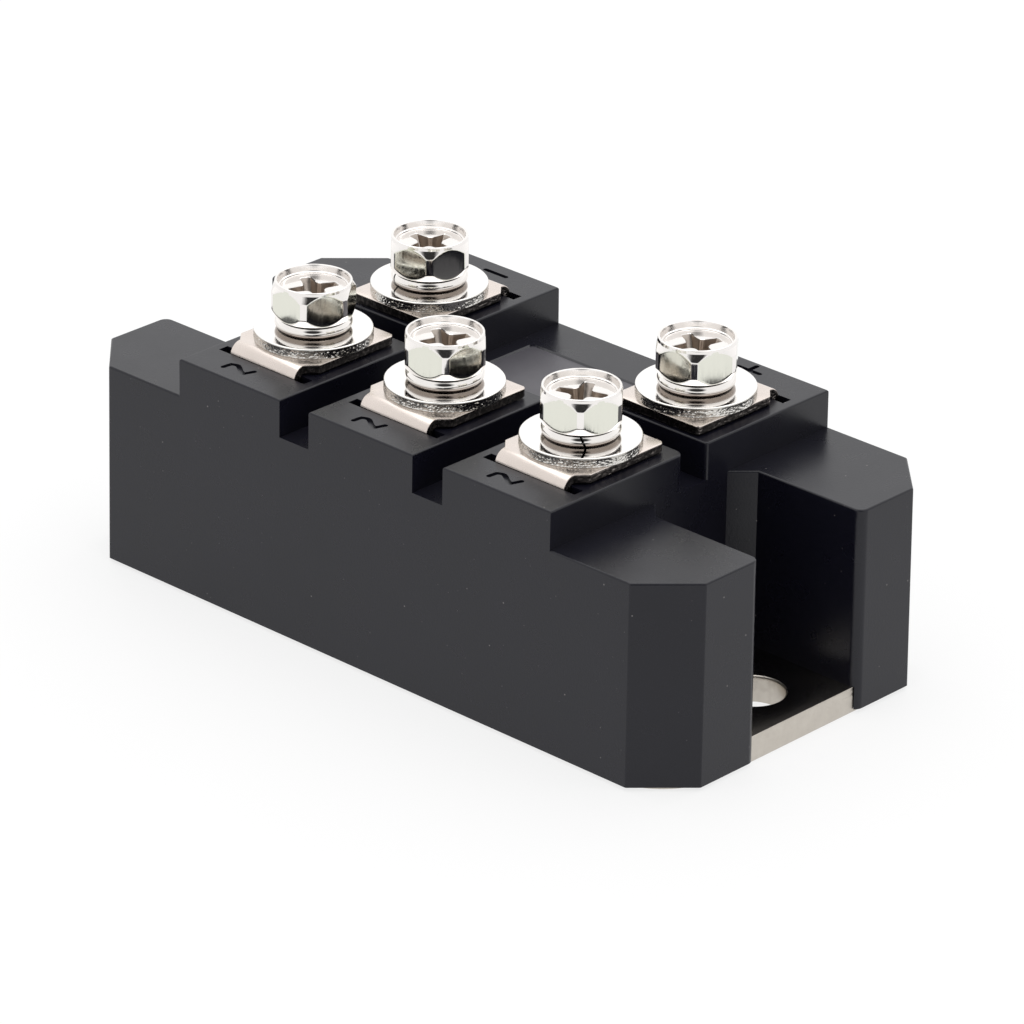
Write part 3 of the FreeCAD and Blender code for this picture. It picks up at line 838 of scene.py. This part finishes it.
def terminal_outline(length, bend_at, lower_at):
    """Outline of the unfolded terminal: distance along the strip and place across it."""
    tab, neck, lower = TAB_WIDTH / 2, NECK_WIDTH / 2, LOWER_NECK_WIDTH / 2
    right = [(0.0, tab, TAB_CORNER), (bend_at - TAB_TAPER, tab, 0.25), (bend_at, neck, 0.2)]
    right += [(lower_at, neck, 0.1), (lower_at, lower, 0.1), (length, lower, 0.3)]
    left = [(s, -w, r) for s, w, r in reversed(right)]
    return densify(rounded((left + right)[::-1], True, 8), 0.16, True)


def terminal(name):
    """Bent terminal with sheared edges: tab, bend, neck and foot from one strip."""
    node = "terminal_" + name
    low, high = interval(node)
    side = -1 if low.y < -NECK_FACE_Y + 1 else 1
    x, y = axis_of(name)
    top, bottom = high.z, low.z
    end_y = high.y if side < 0 else low.y
    bend_centre = NECK_FACE_Y - BEND_OUTER
    bend_at = bend_centre - abs(end_y)
    turn_length = BEND_OUTER * math.pi / 2
    neck_length = top - bottom - 2 * BEND_OUTER
    lower_at = bend_at + turn_length + top - BEND_OUTER - LOWER_NECK_TOP
    foot_at = bend_at + 2 * turn_length + neck_length
    length = foot_at + FOOT_LENGTH - BEND_OUTER
    outline = terminal_outline(length, bend_at, lower_at)
    rows = [(0.09, 0.0), (0.03, 0.02), (0.0, 0.08)]
    rows += [(0.0, 0.08 + 0.06 * k) for k in range(1, 14)] + [(0.02, SHEET)]
    hole = circle(TAB_HOLE / 2, abs(y) - abs(end_y), 0.0, 72)
    hole_rows = [(0.0, 0.0), (0.0, SHEET)]
    stations = [bend_at + turn_length * k / 10 for k in range(11)]
    stations += [foot_at - turn_length + turn_length * k / 10 for k in range(11)]
    points, faces, loop_size = bent_sheet(outline, rows, hole, hole_rows, stations)

    def sheared(face):
        """Whether a face is on the sheared edge, below its rolled upper rim."""
        ends = min(face.vertices), max(face.vertices)
        return len(face.vertices) == 4 and 2 * loop_size <= ends[0] and ends[1] < len(rows) * loop_size

    def fold(p):
        """Place on the bent terminal of a point on the unfolded strip."""
        s, w, t = p
        if s <= bend_at:
            out, up = abs(end_y) + s, top - t
        elif s <= bend_at + turn_length:
            a = (s - bend_at) / BEND_OUTER
            r = BEND_OUTER - t
            out, up = bend_centre + r * math.sin(a), top - BEND_OUTER + r * math.cos(a)
        elif s <= foot_at - turn_length:
            out, up = NECK_FACE_Y - t, top - BEND_OUTER - (s - bend_at - turn_length)
        elif s <= foot_at:
            a = (s - foot_at + turn_length) / BEND_OUTER
            r = BEND_OUTER - t
            out, up = bend_centre + r * math.cos(a), bottom + BEND_OUTER - r * math.sin(a)
        else:
            out, up = bend_centre - (s - foot_at), bottom + t
        return Vector((x - side * w, side * out, up))

    shaped = [fold(p) for p in points]
    if side > 0:
        faces = [f[::-1] for f in faces]
    mesh = new_mesh(node, shaped, faces, 35)
    # The sheared faces carry a painted dark reflection.
    mark_faces(mesh, "sheared", sheared)
    new_piece(node, mesh, "plated_terminal")


def bent_sheet(outline, rows, hole, hole_rows, stations):
    """Sheet with a hole whose faces are cut along lines across the strip, so that it can be bent."""
    cut = []
    for p, after in zip(outline, outline[1:] + outline[:1]):
        cut.append(p)
        between = [s for s in stations if min(p.x, after.x) < s < max(p.x, after.x)]
        between.sort(reverse=after.x < p.x)
        cut += [p.lerp(after, (s - p.x) / (after.x - p.x)) for s in between]
    pairs = []
    for s in stations:
        on_line = [i for i, p in enumerate(cut) if abs(p.x - s) < 0.0001]
        on_line.sort(key=lambda i: cut[i].y)
        if len(on_line) >= 2:
            pairs.append((on_line[0], on_line[-1]))
    points, faces = sheet_piece([cut, hole], [rows, hole_rows], pairs)
    shaped = []
    for p in points:
        share = p.z / SHEET
        deep = 0.0
        if abs(p.y) > NECK_WIDTH / 2 - 0.05 or p.x < 0.05:
            deep = rim_roughness(p, 0.05, 9.0, 3.0) * min(1.0, max(0.0, (share - 0.3) / 0.15))
        shaped.append(Vector((p.x, p.y - math.copysign(deep, p.y), p.z)))
    return shaped, faces, len(cut)


def stroke(points, width, top):
    """Closed upright tool along a line of points, for sinking a mark below a face."""
    left, right = [], []
    for i, p in enumerate(points):
        along = (points[min(i + 1, len(points) - 1)] - points[max(i - 1, 0)]).normalized()
        across = Vector((-along.y, along.x)) * width / 2
        left.append(p + across)
        right.append(p - across)
    first = (points[0] - points[1]).normalized() * width / 2
    last = (points[-1] - points[-2]).normalized() * width / 2
    ends = []
    angles = [math.pi * k / 8 for k in range(1, 8)]
    for centre, reach, start in ((points[0], first, left[0]), (points[-1], last, right[-1])):
        side = start - centre
        ends.append([centre + side * math.cos(a) + reach * math.sin(a) for a in angles])
    outline = right + ends[1] + left[::-1] + ends[0]
    rings = [[Vector((p.x, p.y, z)) for p in outline] for z in (top - MARK_DEPTH, top + 0.5)]
    return joined_rings(rings, False)


def smooth_line(points, steps):
    """Smooth line through points."""
    ends = [2 * points[0] - points[1], 2 * points[-1] - points[-2]]
    run = [ends[0]] + points + [ends[1]]
    line = []
    for a, b, c, d in zip(run, run[1:], run[2:], run[3:]):
        for k in range(steps):
            t = k / steps
            line.append(0.5 * (2 * b + (c - a) * t + (2 * a - 5 * b + 4 * c - d) * t * t
                               + (3 * b - a - 3 * c + d) * t * t * t))
    return line + [points[-1]]


def mark_strokes():
    """Every mark as a line of points on the top of its terminal block."""
    strokes = []
    for column in ("ac_1", "ac_2", "ac_3"):
        start = Vector((axis_of(column)[0], 0.0)) + Vector(WAVE_START)
        strokes += [smooth_line([start + Vector(p) for p in run], 5) for run in WAVE]
    minus_x = axis_of("dc_minus")[0]
    plus_x = axis_of("dc_plus")[0] + PLUS_SHIFT
    for x in (minus_x, plus_x):
        strokes.append([Vector((x - BAR_HALF, BAR_Y)), Vector((x + BAR_HALF, BAR_Y))])
    strokes.append([Vector((plus_x, BAR_Y - PLUS_HALF)), Vector((plus_x, BAR_Y + PLUS_HALF))])
    return strokes


def welded(mesh):
    """The mesh with its doubled points joined and its flat faces whole."""
    shape = bmesh.new()
    shape.from_mesh(mesh)
    bmesh.ops.remove_doubles(shape, verts=shape.verts, dist=WELD_DISTANCE * MM)
    flat = math.radians(WELD_ANGLE)
    bmesh.ops.dissolve_limit(shape, angle_limit=flat, verts=shape.verts, edges=shape.edges)
    shape.to_mesh(mesh)
    shape.free()
    return mesh


def housing():
    """Copy of the moulded housing with its marks sunk in and sloping walls round the shallow field."""
    copy = welded(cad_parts["housing"].data.copy())
    for vertex in copy.vertices:
        x, y, z = vertex.co / MM
        if abs(z - FIELD_HEIGHT) < 0.01 and math.hypot(x, y - FIELD_CENTRE_Y) < FIELD_REACH:
            x -= math.copysign(FIELD_SLOPE, x)
            y -= math.copysign(FIELD_SLOPE, y - FIELD_CENTRE_Y)
            vertex.co = Vector((x, y, z)) * MM
    body = new_object("housing_copy", copy)
    top = interval("housing")[1].z
    tools = []
    for points in mark_strokes():
        shape = stroke(points, MARK_WIDTH, top)
        tools.append(new_object("mark", new_mesh("mark", *shape, 40)))
    carve(body, tools, 40)
    mesh = body.data
    bpy.data.objects.remove(body)
    flatten_shading(mesh)
    new_piece("housing", mesh, "housing_plastic")


def flatten_shading(mesh):
    """Wide faces are shaded flat, and the narrow ones on rounded edges run smoothly into them."""
    wide = set()
    for face in mesh.polygons:
        corners = [mesh.vertices[i].co for i in face.vertices]
        rim = sum((a - b).length for a, b in zip(corners, corners[1:] + corners[:1]))
        if face.area / rim > FLAT_FACE * MM:
            wide.add(face.index)
    near = [[] for _ in mesh.vertices]
    for face in mesh.polygons:
        for i in face.vertices:
            near[i].append(face.index)
    smooth_limit, flat_limit = math.radians(BLEND_ANGLE), math.radians(RUN_IN_ANGLE)
    directions = [face.normal.copy() for face in mesh.polygons]
    normals = [None] * len(mesh.loops)
    for face in mesh.polygons:
        own = directions[face.index]
        for loop in face.loop_indices:
            result = own
            if face.index not in wide:
                around = near[mesh.loops[loop].vertex_index]
                flat = [directions[i] for i in around if i in wide]
                flat.sort(key=own.angle)
                close = [directions[i] for i in around if own.angle(directions[i]) < smooth_limit]
                result = sum(close, Vector())
                if flat and own.angle(flat[0]) < flat_limit:
                    result = flat[0]
            normals[loop] = result.normalized()
    mesh.normals_split_custom_set(normals)


def use_slots():
    """Better materials on the slots of the CAD nodes."""
    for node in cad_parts.values():
        for i, material in enumerate(node.data.materials):
            name = material.name.split(".")[0]
            if name in MATERIALS:
                node.data.materials[i] = MATERIALS[name]


def camera_axes():
    """Right, up and back directions of the camera."""
    a, e, r = (math.radians(v) for v in (CAMERA_AZIMUTH, CAMERA_ELEVATION, CAMERA_ROLL))
    back = Vector((math.sin(a) * math.cos(e), -math.cos(a) * math.cos(e), math.sin(e)))
    level = Vector((math.cos(a), math.sin(a), 0.0))
    upright = back.cross(level)
    right = level * math.cos(r) + upright * math.sin(r)
    up = upright * math.cos(r) - level * math.sin(r)
    return right, up, back


def add_camera():
    """Camera at the photo's place."""
    right, up, back = camera_axes()
    place = CAMERA_TARGET + back * CAMERA_DISTANCE + right * CAMERA_PAN[0] + up * CAMERA_PAN[1]
    data = bpy.data.cameras.new("camera")
    data.lens = CAMERA_LENS
    data.sensor_width = SENSOR_WIDTH
    data.clip_start = 0.01
    data.clip_end = 20.0
    camera = new_object("camera", data)
    turn = Matrix((right, up, back)).transposed().to_4x4()
    camera.matrix_world = Matrix.Translation(place * MM) @ turn
    bpy.context.scene.camera = camera


def add_lamp():
    """Square lamp over the module, unseen by the camera."""
    data = bpy.data.lights.new("overhead", "AREA")
    data.size = LAMP_SIDE * MM
    data.energy = LAMP_POWER
    lamp = new_object("overhead", data)
    lamp.location = Vector(LAMP_PLACE) * MM
    aim = Vector(LAMP_TARGET) - Vector(LAMP_PLACE)
    lamp.rotation_euler = aim.to_track_quat("-Z", "Y").to_euler()
    lamp.visible_camera = False


def background_rays(tree):
    """Output that is 1 for the rays that show the background: seen, mirrored or let through."""
    path = tree.nodes.new("ShaderNodeLightPath")
    shown = path.outputs["Is Camera Ray"]
    for name in ("Is Glossy Ray", "Is Transmission Ray"):
        shown = combined(tree, "MAXIMUM", shown, path.outputs[name])
    return shown


def add_world():
    """Surroundings: white for the rays that show the background, plain for the others, and a dark opening.

    The camera itself doesn't see the opening.
    """
    world = bpy.data.worlds.new("studio")
    bpy.context.scene.world = world
    world.use_nodes = True
    tree = world.node_tree
    background = tree.nodes["Background"]
    place = tree.nodes.new("ShaderNodeTexCoord")
    toward = tree.nodes.new("ShaderNodeVectorMath")
    toward.operation = "DOT_PRODUCT"
    a, e = math.radians(CAMERA_AZIMUTH), math.radians(OPENING_ELEVATION)
    toward.inputs[1].default_value = (math.sin(a) * math.cos(e), -math.cos(a) * math.cos(e), math.sin(e))
    tree.links.new(place.outputs["Generated"], toward.inputs[0])
    ahead = toward.outputs["Value"]
    white = tree.nodes.new("ShaderNodeMix")
    white.inputs["A"].default_value = 1.0
    tree.links.new(background_rays(tree), white.inputs["Factor"])
    tree.links.new(spread(tree, ahead, FAR_SIDE_SPAN, (1.0 + FAR_SIDE_GAIN, 1.0)), white.inputs["B"])
    opening = spread(tree, ahead, OPENING_SPAN, (1.0, OPENING_LEVEL))
    path = tree.nodes.new("ShaderNodeLightPath")
    shut = combined(tree, "MAXIMUM", opening, path.outputs["Is Camera Ray"])
    level = combined(tree, "MULTIPLY", white.outputs["Result"], shut)
    tree.links.new(level, background.inputs["Strength"])
    background.inputs["Color"].default_value = (1.0, 1.0, 1.0, 1.0)


def add_floor():
    """White table under the module, mostly white to the rays that show the background."""
    material, tree, shader = tree_of("white_table")
    tint = blend_colours(tree, noise_value(tree, 40.0), (0.90, 0.90, 0.90), (0.93, 0.93, 0.93))
    tree.links.new(tint, shader.inputs["Base Color"])
    shader.inputs["Roughness"].default_value = 0.7
    white = add_node(tree, "ShaderNodeEmission", Color=(1.0, 1.0, 1.0, 1.0), Strength=1.0)
    share = spread(tree, background_rays(tree), (0.0, 1.0), (0.0, FLOOR_WHITE))
    mix = tree.nodes.new("ShaderNodeMixShader")
    tree.links.new(share, mix.inputs["Fac"])
    tree.links.new(shader.outputs["BSDF"], mix.inputs[1])
    tree.links.new(white.outputs["Emission"], mix.inputs[2])
    tree.links.new(mix.outputs["Shader"], tree.nodes["Material Output"].inputs["Surface"])
    signs = ((-1, -1), (1, -1), (1, 1), (-1, 1))
    corners = [(x * FLOOR_REACH, y * FLOOR_REACH, -FLOOR_DROP) for x, y in signs]
    floor = new_object("floor", new_mesh("floor", corners, [(0, 1, 2, 3)], 30))
    floor.data.materials.append(material)


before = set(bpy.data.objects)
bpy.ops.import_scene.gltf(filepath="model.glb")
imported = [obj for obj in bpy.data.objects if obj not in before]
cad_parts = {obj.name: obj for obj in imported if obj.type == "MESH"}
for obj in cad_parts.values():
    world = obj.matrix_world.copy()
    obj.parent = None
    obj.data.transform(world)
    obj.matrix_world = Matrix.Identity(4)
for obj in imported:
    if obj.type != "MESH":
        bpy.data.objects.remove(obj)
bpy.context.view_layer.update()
MATERIALS = make_materials()
use_slots()
housing()
base_plate()
for terminal_name in TERMINALS:
    terminal(terminal_name)
    flat_washer(terminal_name)
    spring_washer(terminal_name)
    screw(terminal_name)
add_floor()
add_world()
add_lamp()
add_camera()
bpy.context.scene.view_settings.view_transform = "Standard"
